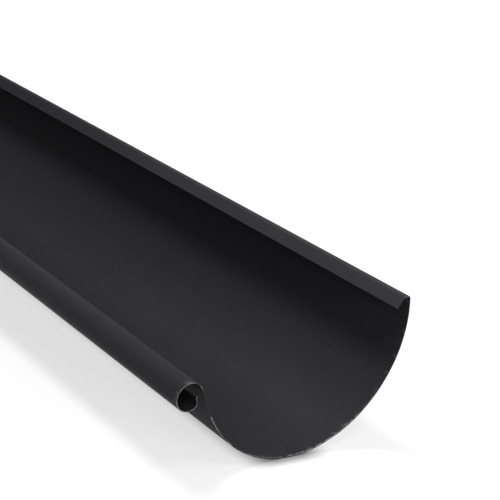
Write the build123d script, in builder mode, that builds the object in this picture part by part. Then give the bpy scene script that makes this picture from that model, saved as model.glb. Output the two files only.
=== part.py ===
from build123d import *
from math import atan2, cos, degrees, sin
import os

# Half-round roof gutter, size 150: one length of coated steel sheet, roll formed.
# Millimetres. X runs along the gutter, -Y is the front with the open bead that a
# bracket hooks round, +Y is the back that stands against the fascia, Z is up.
# The gutter is placed as it lies unheld on a level floor: it rolls a little towards
# the heavier bead, and touches the floor along one line under the round.

# Stock
length = 2000
sheet = 0.6

# Trough
trough_bore = 150
front_lean = 12
front_wall = 14.1

# Bead along the front edge, rolled outwards and left open underneath
bead_diameter = 17.6
bead_turn = 276
curl_radius = 2.1
curl_turn = 74
curl_leg = 3
tip_radius = 1.1
tip_turn = 55

# Back edge, folded in over the trough
back_corner_radius = 0.9
back_corner_turn = 80
back_top = 2.7
flange_radius = 0.9
flange_turn = 55
flange_width = 7.6

# Bend radii above are inside radii. The line drawn is the middle of the sheet.
half_sheet = sheet / 2
trough_mid = trough_bore / 2 + half_sheet
bead_mid = bead_diameter / 2 - half_sheet

# Section, seen along X with the centre of the round at the origin
with BuildSketch() as section:
    with BuildLine() as middle:
        # Round of the trough, from the back round the bottom to the front wall
        trough = CenterArc((0, 0), trough_mid, 0, front_lean - 180)
        # Front wall leans outwards at a tangent, then rolls into the bead
        front = Line(trough @ 1, trough @ 1 + (trough % 1) * front_wall)
        bead = JernArc(front @ 1, front % 1, bead_mid, bead_turn)
        curl = JernArc(bead @ 1, bead % 1, curl_radius + half_sheet, curl_turn)
        leg = Line(curl @ 1, curl @ 1 + (curl % 1) * curl_leg)
        tip = JernArc(leg @ 1, leg % 1, tip_radius + half_sheet, -tip_turn)
        # Back corner, narrow top and the flange that slopes down into the trough
        corner = JernArc(trough @ 0, (0, 1), back_corner_radius + half_sheet, back_corner_turn)
        top = Line(corner @ 1, corner @ 1 + (corner % 1) * back_top)
        fold = JernArc(top @ 1, top % 1, flange_radius + half_sheet, flange_turn)
        flange = Line(fold @ 1, fold @ 1 + (fold % 1) * flange_width)
    trace(line_width=sheet)

# Lean at rest: the centre of mass hangs straight below the centre of the round
balance = section.face().center(CenterOf.MASS)
lean = atan2(-balance.X, -balance.Y)
across = Vector(0, cos(lean), sin(lean))

# Box of the leaning section, to stand it on the floor with its box centred on Y
leaning = Plane((0, 0, 0), x_dir=across, z_dir=(1, 0, 0))
reach = leaning.from_local_coords(section.sketch).bounding_box()
stance = Plane((0, -reach.center().Y, -reach.min.Z), x_dir=across, z_dir=(1, 0, 0))

# Gutter
with BuildPart() as gutter:
    with BuildSketch(stance):
        add(section.sketch)
    extrude(amount=length / 2, both=True)

print(f"lean at rest {degrees(lean):.2f} degrees, mass {gutter.part.volume * 7.85e-6:.2f} kg")

os.makedirs("parts", exist_ok=True)
gutter.part.label = "gutter"
export_step(gutter.part, "parts/gutter.step")
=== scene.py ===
from math import cos, pi, radians, sin

import bpy
from mathutils import Matrix, Vector, noise


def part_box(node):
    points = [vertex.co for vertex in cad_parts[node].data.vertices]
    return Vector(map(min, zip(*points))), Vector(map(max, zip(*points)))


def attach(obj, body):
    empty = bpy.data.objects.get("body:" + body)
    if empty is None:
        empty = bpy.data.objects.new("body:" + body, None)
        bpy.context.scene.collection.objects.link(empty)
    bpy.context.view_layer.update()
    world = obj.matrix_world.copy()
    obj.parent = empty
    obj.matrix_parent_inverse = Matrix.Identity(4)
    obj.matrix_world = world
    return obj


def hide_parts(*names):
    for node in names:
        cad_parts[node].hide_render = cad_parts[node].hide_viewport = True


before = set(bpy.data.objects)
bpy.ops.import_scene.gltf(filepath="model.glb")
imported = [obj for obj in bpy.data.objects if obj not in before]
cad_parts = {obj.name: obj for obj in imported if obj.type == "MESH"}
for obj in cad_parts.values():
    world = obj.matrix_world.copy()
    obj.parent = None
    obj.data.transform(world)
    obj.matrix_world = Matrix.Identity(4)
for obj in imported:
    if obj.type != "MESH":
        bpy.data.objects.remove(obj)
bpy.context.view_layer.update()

MM = 0.001

# Sheet and section of the gutter, the same sizes as in the model. Bend radii are inside radii.
LENGTH = 2000 * MM
HALF_LENGTH = LENGTH / 2
SHEET = 0.6 * MM
HALF_SHEET = SHEET / 2
TROUGH_MID = 75 * MM + HALF_SHEET
FRONT_LEAN = 12
FRONT_WALL = 14.1 * MM
BEAD_MID = 8.8 * MM - HALF_SHEET
BEAD_TURN = 276
CURL_MID = 2.1 * MM + HALF_SHEET
CURL_TURN = 74
CURL_LEG = 3 * MM
TIP_MID = 1.1 * MM + HALF_SHEET
TIP_TURN = 55
CORNER_MID = 0.9 * MM + HALF_SHEET
CORNER_TURN = 80
BACK_TOP = 2.7 * MM
FLANGE_FOLD_MID = 0.9 * MM + HALF_SHEET
FLANGE_FOLD_TURN = 55
FLANGE_WIDTH = 7.6 * MM

# Section from the flange's free edge to the bead's, in steps fine enough to look round.
# A move is (length, 0, steps) for a straight and (mid radius, turn in degrees, steps) for a bend.
FLANGE_MOVE = (FLANGE_WIDTH, 0, 4)
FOLD_MOVE = (FLANGE_FOLD_MID, -FLANGE_FOLD_TURN, 8)
TOP_MOVE = (BACK_TOP, 0, 2)
CORNER_MOVE = (CORNER_MID, -CORNER_TURN, 10)
ROUND_MOVE = (TROUGH_MID, FRONT_LEAN - 180, 120)
WALL_MOVE = (FRONT_WALL, 0, 8)
BEAD_MOVE = (BEAD_MID, BEAD_TURN, 60)
CURL_MOVE = (CURL_MID, CURL_TURN, 14)
LEG_MOVE = (CURL_LEG, 0, 2)
TIP_MOVE = (TIP_MID, -TIP_TURN, 6)
BACK_MOVES = (FLANGE_MOVE, FOLD_MOVE, TOP_MOVE, CORNER_MOVE)
FRONT_MOVES = (ROUND_MOVE, WALL_MOVE, BEAD_MOVE, CURL_MOVE, LEG_MOVE, TIP_MOVE)

# What cutting leaves on the sheet. The burr's step is from one point of the section to the next.
CUT_ROUND = 0.07 * MM
CUT_BURR = 0.06 * MM
CUT_BURR_STEP = 0.9
CURL_LIFT = 9
CURL_LIFT_FROM_CUT = 10 * MM
CURL_LIFT_FADES = 45 * MM

# Small waves of the flange's free edge and of the trough: height, then how often they change in
# a metre of the gutter and over the width of the trough
LIP_WAVE = 0.12 * MM
LIP_WAVE_ALONG = 6
BODY_WAVE = 0.16 * MM
BODY_WAVE_ALONG = 4.5
BODY_WAVE_ACROSS = 5

# Each one's own place in the noise
LIP_SEED = 7
BODY_SEED = 3
BURR_SEED = 11

# Rings of the skin: millimetres from each cut end, then evenly spaced
RINGS_AT_CUT = (0.07, 0.5, 1.3, 3, 6, 10, 16, 24, 34, 46)
RING_SPACING = 25 * MM

# Angle in degrees from which an edge of the skin shows as an arris
SHARP_FROM = 30

# Material slots of the skin
FACE, BACKING, CUT = 0, 1, 2

# Colours, linear
WHITE = (1, 1, 1, 1)
COAT_DEEP = (0.0255, 0.0256, 0.0285, 1)
COAT_PALE = (0.0327, 0.0328, 0.0365, 1)
# Paler coat for wear, and for painted sheen and painted light
COAT_RUBBED_AND_PAINTED_LIGHT = (0.060, 0.060, 0.064, 1)
COAT_DUST = (0.20, 0.195, 0.185, 1)
COAT_FLAKED = (0.19, 0.19, 0.20, 1)
# Painted shade for the bead's hollow
COAT_PAINTED_SHADE = (0.006, 0.006, 0.006, 1)
EDGE_COATED = (0.021, 0.021, 0.0235, 1)
EDGE_SMEARED = (0.032, 0.032, 0.034, 1)
EDGE_BARE = (0.26, 0.26, 0.27, 1)
FLOOR_COLOUR = (0.3, 0.3, 0.3, 1)

# Textures: stretch of the noise along and across the gutter, its scale, detail and roughness
GRAIN = (1, 1, 2400, 3.0, 0.6)
STIPPLE = (1, 1, 850, 2.0, 0.5)
ROLLING_LINES = (0.5, 110, 9, 3.0, 0.5)
FINE_LINES = (3, 900, 3, 2.0, 0.5)
CLOUDS = (1, 3, 3.5, 3.0, 0.5)
WORN_PATCHES = (9, 260, 5, 4.0, 0.65)
# Patches of the painted sheen on the flange
PAINTED_SHEEN_PATCHES = (16, 60, 1, 2.0, 0.5)
KNOCKS = (1, 1, 260, 2.0, 0.5)
FLAKES = (1, 1, 330, 3.0, 0.5)
SCUFF_LINES = (7, 420, 2.4, 2.0, 0.5)
SCUFF_PATCHES = (2, 8, 3, 2.0, 0.5)
DUST_MOTES = (1, 1, 620, 0.0, 0.5)
DUST_FILM = (1, 1, 55, 4.0, 0.5)
TORN_STEEL = (1, 1, 1500, 3.0, 0.7)
SMEARED_COAT = (1, 1, 210, 2.0, 0.5)
EDGE_PATCHES = (1, 1, 38, 2.0, 0.5)

# Sheen and relief of the coat and of the cut edge
COAT_ROUGHNESS = 0.37
COAT_SHEEN = 0.042
COAT_RELIEF = 0.22
EDGE_ROUGHNESS = 0.42
EDGE_SHEEN = 0.1
EDGE_RELIEF = 0.5
RELIEF_DEPTH = 0.05 * MM

# Marks that follow a line of the section: how far from it each one fades out
# The back corner's line carries both rubbing and a painted sheen
CORNER_RUB_AND_SHEEN = 2.2 * MM
CREST_RUB = 4 * MM
KEEL_RUB = 7 * MM

# The same, and then how far from the line the mark is full
# Painted sheen along the flange
FLANGE_PAINTED_SHEEN = (8 * MM, 5 * MM)
# Painted shade inside the bead's hollow
BEAD_HOLLOW_SHADE = (8.9 * MM, 8.3 * MM)
DRAGGED_CROWN = (3.2 * MM, 1 * MM)
DRAGGED_FOLD = (3.9 * MM, 2.8 * MM)

# Marks towards the cut ends, from none to full, by the square of the metres from the middle
# The first is the painted sheen on the flange
PAINTED_SHEEN_TOWARDS_ENDS = (0.25, 0.62)
KNOCKED_AT_ENDS = (0.991, 0.998)
FLAKED_AT_ENDS = (0.9980, 0.9985)

# Where a mark at the cuts comes in or goes out, from front to back of the gutter as it lies
FLAKED_BEGINS = (-57 * MM, -54 * MM)
FLAKED_ENDS = (52 * MM, 72 * MM)
DRAGGED_FRONT_BEGINS = (-66.4 * MM, -65.4 * MM)
DRAGGED_FRONT_ENDS = (-57.8 * MM, -56.4 * MM)
DRAGGED_BACK_BEGINS = (-44 * MM, -34 * MM)

# Height at which the mark on the back goes out
DRAGGED_BACK_TOP = (94.6 * MM, 95.4 * MM)

# Floor: white for the eye, with a painted contact shadow where the gutter touches it
FLOOR_REACH = 60
FLOOR_GLOW = 0.7
FLOOR_GLOW_FAR = 0.3
FAR_FROM_MIDDLE = (1.0, 2.6)
BEHIND_GUTTER = (0.1, 0.45)
CONTACT_DARK = 8 * MM
CONTACT_REACH = 36 * MM
CONTACT_PAST_CUT = 10 * MM

# Camera, in the frame of the section at the near cut end
SENSOR = 36
FOCAL = 92.74
CAMERA_FROM_END = Vector((489.16, -396.69, 378.37)) * MM
CAMERA_RIGHT = Vector((0.59921, 0.80002, -0.03033))
CAMERA_UP = Vector((-0.34699, 0.29367, 0.8907))

# Studio round the floor
SOFTBOX_AWAY = 2.2
ROOM_LIGHT = 0.05
WALL_PALE = 0.4
WALL_TOP_LOW = 0.2
WALL_TOP_HIGH = 0.3


class Wire:
    """A shader socket that takes part in Python arithmetic."""

    def __init__(self, finish, socket):
        self.finish = finish
        self.socket = socket

    def math(self, operation, one, other, clamp=False):
        settings = {"operation": operation, "use_clamp": clamp}
        return self.finish.node("ShaderNodeMath", settings, {0: one, 1: other})

    def __add__(self, other):
        return self.math("ADD", self, other)

    def __sub__(self, other):
        return self.math("SUBTRACT", self, other)

    def __rsub__(self, other):
        return self.math("SUBTRACT", other, self)

    def __mul__(self, other):
        return self.math("MULTIPLY", self, other)

    __radd__ = __add__
    __rmul__ = __mul__

    def clamped(self):
        return self.math("ADD", self, 0.0, clamp=True)

    def step(self, low, high):
        """0 at low, 1 at high, smooth between them and flat beyond."""
        settings = {"interpolation_type": "SMOOTHSTEP"}
        sockets = {"Value": self, "From Min": low, "From Max": high}
        return self.finish.node("ShaderNodeMapRange", settings, sockets)


class Finish:
    """The shader nodes of one material, or of the world."""

    def __init__(self, owner):
        owner.use_nodes = True
        self.tree = owner.node_tree
        self.tree.nodes.clear()

    def node(self, kind, settings=None, sockets=None, output=0):
        """Adds a node: first its settings, then the values or links of its sockets."""
        made = self.tree.nodes.new(kind)
        for name, value in (settings or {}).items():
            setattr(made, name, value)
        for name, value in (sockets or {}).items():
            if isinstance(value, Wire):
                self.tree.links.new(value.socket, made.inputs[name])
            else:
                made.inputs[name].default_value = value
        return Wire(self, made.outputs[output])

    def place(self, scale=(1, 1, 1)):
        """Where a point lies on the gutter, in metres, stretched by scale."""
        where = self.node("ShaderNodeTexCoord", output="Object")
        settings = {"operation": "MULTIPLY"}
        return self.node("ShaderNodeVectorMath", settings, {0: where, 1: scale})

    def speckle(self, along, across, scale, detail, roughness):
        """Noise, stretched along and across the gutter."""
        where = self.place((along, across, across))
        sockets = {"Vector": where, "Scale": scale, "Detail": detail, "Roughness": roughness}
        return self.node("ShaderNodeTexNoise", {}, sockets)

    def near_line(self, y, z, reach, full=0):
        """1 within full of the line through (y, z) along the gutter, 0 at reach from it."""
        settings = {"operation": "DISTANCE"}
        sockets = {0: self.place((0, 1, 1)), 1: (0, y, z)}
        away = self.node("ShaderNodeVectorMath", settings, sockets, output="Value")
        return away.step(reach, full)

    def part_of_place(self, axis):
        """How far along one axis a point lies, in metres."""
        return self.node("ShaderNodeSeparateXYZ", {}, {0: self.place()}, output=axis)

    def blend(self, share, one, other):
        """Colour between one and other."""
        settings = {"data_type": "RGBA"}
        return self.node("ShaderNodeMix", settings, {0: share, 6: one, 7: other}, output=2)

    def bump(self, height, strength):
        """Fine relief of the surface."""
        sockets = {"Height": height, "Distance": RELIEF_DEPTH, "Strength": strength}
        return self.node("ShaderNodeBump", {}, sockets)

    def seen(self):
        """1 for rays from the eye, also after a mirror or clear glass, and 0 for lighting."""
        camera, glossy, clear = (
            self.node("ShaderNodeLightPath", output=f"Is {kind} Ray")
            for kind in ("Camera", "Glossy", "Transmission")
        )
        return (camera + glossy + clear).clamped()

    def ends_in(self, shader, output="ShaderNodeOutputMaterial"):
        end = self.tree.nodes.new(output)
        self.tree.links.new(shader.socket, end.inputs["Surface"])


def new_material(name):
    material = bpy.data.materials.new(name)
    return material, Finish(material)


def coat(name, matter, painted_lift, flaked):
    """Matt dark coil coat: fine grain, rolling lines, scuffs, rubbed bends, flaked arris and dust,
    with painted sheen on the flange, painted shade in the bead's hollow and a painted lift of the
    colour.
    """
    material, f = new_material(name)
    grain = f.speckle(*GRAIN)
    stipple = f.speckle(*STIPPLE)
    rolled = f.speckle(*ROLLING_LINES)
    fine_rolled = f.speckle(*FINE_LINES)
    cloud = f.speckle(*CLOUDS)

    # Bends that rub against rollers, straps and the next gutter in the stack
    corner = f.near_line(*back_corner, CORNER_RUB_AND_SHEEN)
    crest = f.near_line(*bead_crest, CREST_RUB)
    keel = f.near_line(*lowest_line, KEEL_RUB)
    worn = f.speckle(*WORN_PATCHES).step(0.42, 0.66)
    rubbed = ((0.8 * corner + 0.5 * crest + 0.6 * keel) * worn).clamped()

    # Painted sheen on the folded edge, stronger towards its ends, and along the back corner; cut
    # ends knock about
    x = f.part_of_place("X")
    from_middle = x * x
    painted_sheen = f.near_line(*flange_middle, *FLANGE_PAINTED_SHEEN) * from_middle.step(*PAINTED_SHEEN_TOWARDS_ENDS)
    painted_sheen = painted_sheen * (0.75 + 0.5 * (f.speckle(*PAINTED_SHEEN_PATCHES) - 0.5)) + 0.5 * corner
    knocked = from_middle.step(*KNOCKED_AT_ENDS) * f.speckle(*KNOCKS).step(0.55, 0.70)

    # Where the shears bit, the coat flaked off along the arris of the round
    y = f.part_of_place("Y")
    bare = from_middle.step(*FLAKED_AT_ENDS) * y.step(*FLAKED_BEGINS)
    bare = bare * (1 - y.step(*FLAKED_ENDS)) * f.speckle(*FLAKES).step(0.36, 0.58)

    # Painted shade inside the bead's hollow, on the backing coat only
    bead_hollow_shade = f.near_line(*bead_middle, *BEAD_HOLLOW_SHADE)

    # Scuffs run nearly along the sheet, where lengths slide over each other
    scuff = f.speckle(*SCUFF_LINES).step(0.67, 0.75)
    scuff = scuff * f.speckle(*SCUFF_PATCHES).step(0.45, 0.62)

    # Dust settles on what faces up
    facing = f.node("ShaderNodeNewGeometry", output="Normal")
    upward = f.node("ShaderNodeSeparateXYZ", {}, {0: facing}, output="Z").step(0.1, 0.8)
    mote = f.speckle(*DUST_MOTES).step(0.79, 0.84) * upward
    film = f.speckle(*DUST_FILM).step(0.35, 0.7) * upward

    tone = (0.45 * cloud + 0.25 * rolled + 0.15 * fine_rolled + 0.15 * stipple).step(0.3, 0.7)
    colour = f.blend(tone, COAT_DEEP, COAT_PALE)
    colour = f.blend(0.010 * film + 0.06 * mote, colour, COAT_DUST)
    # Scuffs and rubbed bends are wear; the flange's sheen and the backing coat's lift are painted
    # light
    wear_and_painted_light = painted_lift + 0.10 * scuff + 0.22 * rubbed + 0.5 * painted_sheen
    colour = f.blend(wear_and_painted_light.clamped(), colour, COAT_RUBBED_AND_PAINTED_LIGHT)
    colour = f.blend(flaked * (bare + 0.28 * knocked).clamped(), colour, COAT_FLAKED)
    # Painted shade in the bead's hollow
    colour = f.blend(0.7 * (1 - flaked) * bead_hollow_shade, colour, COAT_PAINTED_SHADE)
    rough = (COAT_ROUGHNESS + matter) + 0.09 * grain + 0.06 * cloud + 0.04 * rolled + 0.05 * film
    rough = rough - 0.08 * scuff - 0.10 * rubbed
    height = 0.65 * grain + 0.25 * stipple + 0.1 * fine_rolled
    shader = f.node(
        "ShaderNodeBsdfPrincipled",
        {},
        {
            "Base Color": colour,
            "Roughness": rough.clamped(),
            "Specular IOR Level": COAT_SHEEN,
            "Normal": f.bump(height, COAT_RELIEF),
        },
    )
    f.ends_in(shader)
    return material


def cut_edge():
    """Edge where the shears parted coat, zinc and steel: bright, or with coat dragged over it."""
    material, f = new_material("cut_edge")
    torn = f.speckle(*TORN_STEEL)
    smeared = f.speckle(*SMEARED_COAT)
    patch = f.speckle(*EDGE_PATCHES)
    bright = (0.45 * torn + 0.3 * smeared + 0.25 * patch).step(0.40, 0.60)

    # The shears dragged the coat over the front wall, the crown of the bead, the back and the fold
    y = f.part_of_place("Y")
    z = f.part_of_place("Z")
    on_front = y.step(*DRAGGED_FRONT_BEGINS) * (1 - y.step(*DRAGGED_FRONT_ENDS))
    on_crown = f.near_line(*bead_crown, *DRAGGED_CROWN)
    on_back = y.step(*DRAGGED_BACK_BEGINS) * (1 - 0.8 * smeared.step(0.54, 0.64))
    on_back = on_back * (1 - z.step(*DRAGGED_BACK_TOP))
    on_fold = f.near_line(*flange_middle, *DRAGGED_FOLD)
    dragged = (on_front + 0.55 * on_crown + 0.8 * on_back + on_fold).clamped()
    bright = bright * (1 - dragged)
    colour = f.blend(bright, EDGE_SMEARED, EDGE_BARE)
    shader = f.node(
        "ShaderNodeBsdfPrincipled",
        {},
        {
            "Base Color": f.blend(dragged, colour, EDGE_COATED),
            "Metallic": (0.7 * bright).clamped(),
            "Specular IOR Level": EDGE_SHEEN,
            "Roughness": (EDGE_ROUGHNESS + 0.2 * torn).clamped(),
            "Normal": f.bump(torn, EDGE_RELIEF),
        },
    )
    f.ends_in(shader)
    return material


def pale_floor():
    """White floor. Part of its white is for the eye alone, and fades where the gutter touches, as a
    painted contact shadow.
    """
    material, f = new_material("pale_floor")
    matt = f.node("ShaderNodeBsdfDiffuse", {}, {"Color": FLOOR_COLOUR})
    # Painted contact shadow: the glow fades along the line where the gutter lies on the floor and
    # just past its cut ends
    painted_contact_shadow = f.near_line(*lowest_line, CONTACT_REACH, CONTACT_DARK)
    x = f.part_of_place("X")
    painted_contact_shadow = painted_contact_shadow * (1 - x.step(HALF_LENGTH, HALF_LENGTH + CONTACT_PAST_CUT))
    painted_contact_shadow = painted_contact_shadow * x.step(-HALF_LENGTH - CONTACT_PAST_CUT, -HALF_LENGTH)
    away = f.node("ShaderNodeVectorMath", {"operation": "LENGTH"}, {0: f.place()}, output="Value")
    behind = f.part_of_place("Y").step(*BEHIND_GUTTER)
    beyond = (away.step(*FAR_FROM_MIDDLE) + 0.45 * behind).clamped()
    strength = FLOOR_GLOW * (1 - painted_contact_shadow) + FLOOR_GLOW_FAR * beyond
    glow = f.node("ShaderNodeEmission", {}, {"Strength": f.seen() * strength})
    f.ends_in(f.node("ShaderNodeAddShader", {}, {0: matt, 1: glow}))
    return material


def walk(heading, moves):
    """Points of a chain of moves that starts at the origin, each with its heading in radians."""
    at = Vector((0, 0))
    chain = [(at, heading)]
    for size, turn, steps in moves:
        swing = radians(turn) / steps
        chord = 2 * size * sin(abs(swing) / 2) if turn else size / steps
        for _ in range(steps):
            aim = heading + swing / 2
            at = at + chord * Vector((cos(aim), sin(aim)))
            heading += swing
            chain.append((at, heading))
    return chain


def steps_of(moves):
    return sum(steps for _, _, steps in moves)


# Where the parts of the section begin, counted along its chain
FLANGE_ENDS = steps_of((FLANGE_MOVE,))
ROUND_STARTS = steps_of(BACK_MOVES)
BEAD_STARTS = ROUND_STARTS + steps_of((ROUND_MOVE, WALL_MOVE))
CURL_STARTS = BEAD_STARTS + steps_of((BEAD_MOVE,))

# Points of the section that marks follow, counted in the same way
CORNER_MIDDLE = ROUND_STARTS - steps_of((CORNER_MOVE,)) // 2
BEAD_CROWN = BEAD_STARTS + 7
BEAD_CREST = BEAD_STARTS + 22


def section_line():
    """Middle of the sheet, with the centre of the round at the origin."""
    heading = radians(FLANGE_FOLD_TURN + CORNER_TURN - 90)
    chain = walk(heading, BACK_MOVES + FRONT_MOVES)
    shift = Vector((TROUGH_MID, 0)) - chain[ROUND_STARTS][0]
    return [(point + shift, heading) for point, heading in chain]


def across(heading):
    """Direction to the left of a heading."""
    return Vector((-sin(heading), cos(heading)))


def curl_lift(from_cut):
    """How far the free edge stands up behind the cut, where the shears pushed its end down."""
    rise = min(from_cut / CURL_LIFT_FROM_CUT, 1)
    fall = min(max(1 - (from_cut - CURL_LIFT_FROM_CUT) / CURL_LIFT_FADES, 0), 1)
    return rise * fall * fall * (3 - 2 * fall)


def sheet_at(x):
    """Middle of the sheet at x, with the small waves and bends that a real length has."""
    line = list(true_line)
    for i in range(FLANGE_ENDS):
        point, heading = line[i]
        free = 1 - i / FLANGE_ENDS
        spot = (LIP_WAVE_ALONG * x, LIP_SEED, 0)
        line[i] = (point + across(heading) * LIP_WAVE * free * noise.noise(spot), heading)
    for i in range(ROUND_STARTS, BEAD_STARTS):
        point, heading = line[i]
        share = (i - ROUND_STARTS) / (BEAD_STARTS - ROUND_STARTS)
        spot = (BODY_WAVE_ALONG * x, BODY_WAVE_ACROSS * share, BODY_SEED)
        inward = BODY_WAVE * sin(pi * share) * (0.5 + 0.5 * noise.noise(spot))
        line[i] = (point - across(heading) * inward, heading)
    lift = radians(CURL_LIFT) * curl_lift(HALF_LENGTH - abs(x))
    hinge = line[CURL_STARTS][0]
    turn = Matrix.Rotation(lift, 2)
    for i in range(CURL_STARTS, len(line)):
        point, heading = line[i]
        line[i] = (hinge + turn @ (point - hinge), heading + lift)
    return line


def outline(line, inset):
    """Closed outline of the sheet round its middle line, drawn in from every face by inset."""
    reach = HALF_SHEET - inset
    nib = reach - CUT_ROUND
    last = len(line) - 1

    def at(index, side, back_off):
        point, heading = line[index]
        ahead = Vector((cos(heading), sin(heading)))
        return point + across(heading) * side + ahead * (back_off if index == 0 else -back_off)

    def side_of(i, side):
        return at(i, side, inset + CUT_ROUND if i in (0, last) else 0)

    left = [side_of(i, reach) for i in range(last + 1)]
    right = [side_of(i, -reach) for i in range(last, -1, -1)]
    tip = [at(last, nib, inset), at(last, -nib, inset)]
    lip = [at(0, -nib, inset), at(0, nib, inset)]
    return left + tip + right + lip


def stations():
    """Where the rings stand along the gutter: close at the cut ends, then evenly."""
    ends = [HALF_LENGTH - d * MM for d in RINGS_AT_CUT]
    reach = ends[-1]
    count = round(2 * reach / RING_SPACING)
    middle = [reach - 2 * reach * k / count for k in range(1, count)]
    return ends + middle + [-x for x in reversed(ends)]


def burr(i, x):
    """How far the cut face stands back at point i, where the shears tore it unevenly."""
    return CUT_BURR * (0.5 + 0.5 * noise.noise((CUT_BURR_STEP * i, x, BURR_SEED)))


def gutter_mesh():
    """The gutter as one skin: rings of the section along X, closed by the two cut ends."""
    n = len(true_line)
    rings = [(x, 0) for x in stations()]
    rings = [(HALF_LENGTH, CUT_ROUND), *rings, (-HALF_LENGTH, CUT_ROUND)]
    points = []
    for x, inset in rings:
        for i, p in enumerate(outline(sheet_at(x), inset)):
            back = burr(i, x) if inset else 0
            points.append(stance @ Vector((x - back if x > 0 else x + back, p.x, p.y)))

    # Skin between the rings. The sheet's left side comes first in a ring, then the bead's free
    # edge, the right side and the flange's free edge.
    size = 2 * n + 4
    free_edges = {n - 1, n, n + 1, 2 * n + 1, 2 * n + 2, 2 * n + 3}
    faces = []
    slots = []
    for r in range(len(rings) - 1):
        at_cut = r in (0, len(rings) - 2)
        for i in range(size):
            j = (i + 1) % size
            a = r * size
            b = a + size
            faces.append((a + i, a + j, b + j, b + i))
            slots.append(CUT if at_cut or i in free_edges else BACKING if i < n else FACE)

    # Cut ends
    strip = [(i, i + 1, 2 * n - i, 2 * n + 1 - i) for i in range(n - 1)]
    nibs = [(n - 1, n, n + 1, n + 2), (2 * n + 1, 2 * n + 2, 2 * n + 3, 0)]
    for first, near in ((0, True), ((len(rings) - 1) * size, False)):
        for corners in strip + nibs:
            quad = tuple(first + c for c in corners)
            faces.append(quad[::-1] if near else quad)
            slots.append(CUT)

    mesh = bpy.data.meshes.new("gutter_sheet")
    mesh.from_pydata(points, [], faces)
    mesh.polygons.foreach_set("material_index", slots)
    mesh.polygons.foreach_set("use_smooth", [True] * len(faces))
    mesh.set_sharp_from_angle(angle=radians(SHARP_FROM))
    mesh.update()
    return mesh


def leaning():
    """Places the section as it rests: leaning by its balance, on the floor, box centred on Y."""
    weighed = Vector((0, 0))
    for (a, _), (b, _) in zip(true_line, true_line[1:]):
        weighed += (a + b) / 2 * (b - a).length
    lean = pi / 2 - (-weighed).angle_signed(Vector((1, 0)))
    turn = Matrix.Rotation(lean, 4, "X")
    ring = [turn @ Vector((0, p.x, p.y)) for p in outline(true_line, 0)]
    y_mid = (min(p.y for p in ring) + max(p.y for p in ring)) / 2
    z_low = min(p.z for p in ring)
    low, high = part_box("gutter")
    return Matrix.Translation(((low.x + high.x) / 2, -y_mid, -z_low)) @ turn


def on_section(i, side):
    """World (y, z) of a point on the sheet, side metres to the left of its middle."""
    point, heading = true_line[i]
    p = stance @ Vector((0, *(point + across(heading) * side)))
    return p.y, p.z


def put(name, data):
    thing = bpy.data.objects.new(name, data)
    bpy.context.scene.collection.objects.link(thing)
    return thing


def photographer():
    """Camera, placed from the centre of the round at the near cut end, back edge level."""
    lens = bpy.data.cameras.new("camera")
    lens.lens = FOCAL
    lens.sensor_width = SENSOR
    lens.clip_end = 2 * FLOOR_REACH
    camera = put("camera", lens)
    facing = Matrix((CAMERA_RIGHT, CAMERA_UP, CAMERA_RIGHT.cross(CAMERA_UP))).transposed()
    stand = Matrix.Translation(near_end + CAMERA_FROM_END)
    camera.matrix_world = stance @ stand @ facing.to_4x4()
    return camera


def towards(azimuth, elevation):
    """Direction to a lamp. Azimuth is counted from +X towards +Y."""
    a = radians(azimuth)
    e = radians(elevation)
    return Vector((cos(a) * cos(e), sin(a) * cos(e), sin(e)))


def far_light(name, azimuth, elevation, strength, angle):
    """Soft light from far off, even over the whole floor, that fills a cone of this angle."""
    lamp = bpy.data.lights.new(name, "SUN")
    lamp.energy = strength * pi
    lamp.angle = radians(angle)
    put(name, lamp).rotation_euler = towards(azimuth, elevation).to_track_quat("Z", "Y").to_euler()


def softbox(name, azimuth, elevation, strength, width):
    """Round softbox that looks at the near cut end."""
    lamp = bpy.data.lights.new(name, "AREA")
    lamp.shape = "DISK"
    lamp.size = width
    lamp.energy = strength * (pi * SOFTBOX_AWAY) ** 2
    way = towards(azimuth, elevation)
    box = put(name, lamp)
    box.location = near_end + SOFTBOX_AWAY * way
    box.rotation_euler = way.to_track_quat("Z", "Y").to_euler()


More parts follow.
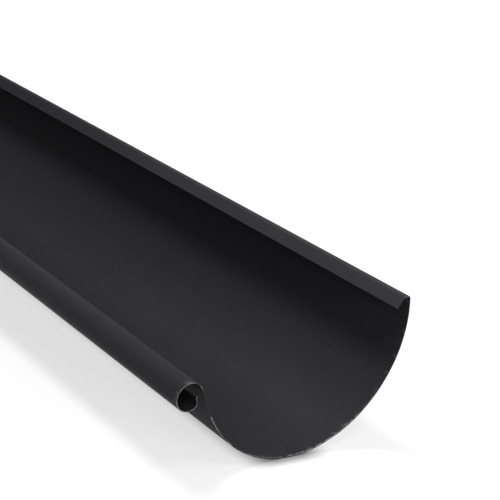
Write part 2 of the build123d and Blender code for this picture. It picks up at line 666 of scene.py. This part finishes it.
def studio():
    """Room round the floor: dim for the lighting, with a pale band along the horizon to look at."""
    world = bpy.data.worlds.new("studio")
    f = Finish(world)
    way = f.node("ShaderNodeTexCoord", output="Generated")
    height = f.node("ShaderNodeSeparateXYZ", {}, {0: way}, output="Z")
    band = WALL_PALE * height.step(WALL_TOP_HIGH, WALL_TOP_LOW)
    seen = f.seen()
    strength = seen * band + (1 - seen) * ROOM_LIGHT
    shader = f.node("ShaderNodeBackground", {}, {"Color": WHITE, "Strength": strength})
    f.ends_in(shader, "ShaderNodeOutputWorld")
    return world


near_end = Vector((HALF_LENGTH, 0, 0))
true_line = section_line()
stance = leaning()
back_corner = on_section(CORNER_MIDDLE, HALF_SHEET)
bead_crest = on_section(BEAD_CREST, -HALF_SHEET)
bead_crown = on_section(BEAD_CROWN, 0)
bead_middle = on_section(BEAD_STARTS, BEAD_MID)
flange_middle = on_section(FLANGE_ENDS // 2, 0)
lowest_line = (stance.translation.y, 0)

# Gutter, with its materials in the order of their slots
sheet = put("gutter_sheet", gutter_mesh())
sheet.data.materials.append(coat("face_coat", matter=0, painted_lift=0, flaked=1))
# The backing coat is rougher, and its colour is lifted towards the pale coat as painted light on
# the dark underside
sheet.data.materials.append(coat("backing_coat", matter=0.2, painted_lift=0.12, flaked=0))
sheet.data.materials.append(cut_edge())
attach(sheet, "root")
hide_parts("gutter")

# Floor
corners = [(-1, -1, 0), (1, -1, 0), (1, 1, 0), (-1, 1, 0)]
floor_mesh = bpy.data.meshes.new("floor")
floor_mesh.from_pydata([FLOOR_REACH * Vector(c) for c in corners], [], [(0, 1, 2, 3)])
floor = put("floor", floor_mesh)
floor_mesh.materials.append(pale_floor())

# Camera
bpy.context.scene.camera = photographer()

# Light
softbox("overhead_near", 339, 68, 0.222, width=0.6)
softbox("low_end", 0, 25, 0.565, width=1.2)
softbox("low_front", 315, 25, 0.278, width=1.2)
far_light("overhead_far", 201, 68, 0.519, angle=16)
far_light("back", 90, 22, 0.37, angle=40)
far_light("back_far", 135, 22, 0.054, angle=40)
bpy.context.scene.world = studio()
bpy.context.scene.view_settings.view_transform = "Standard"
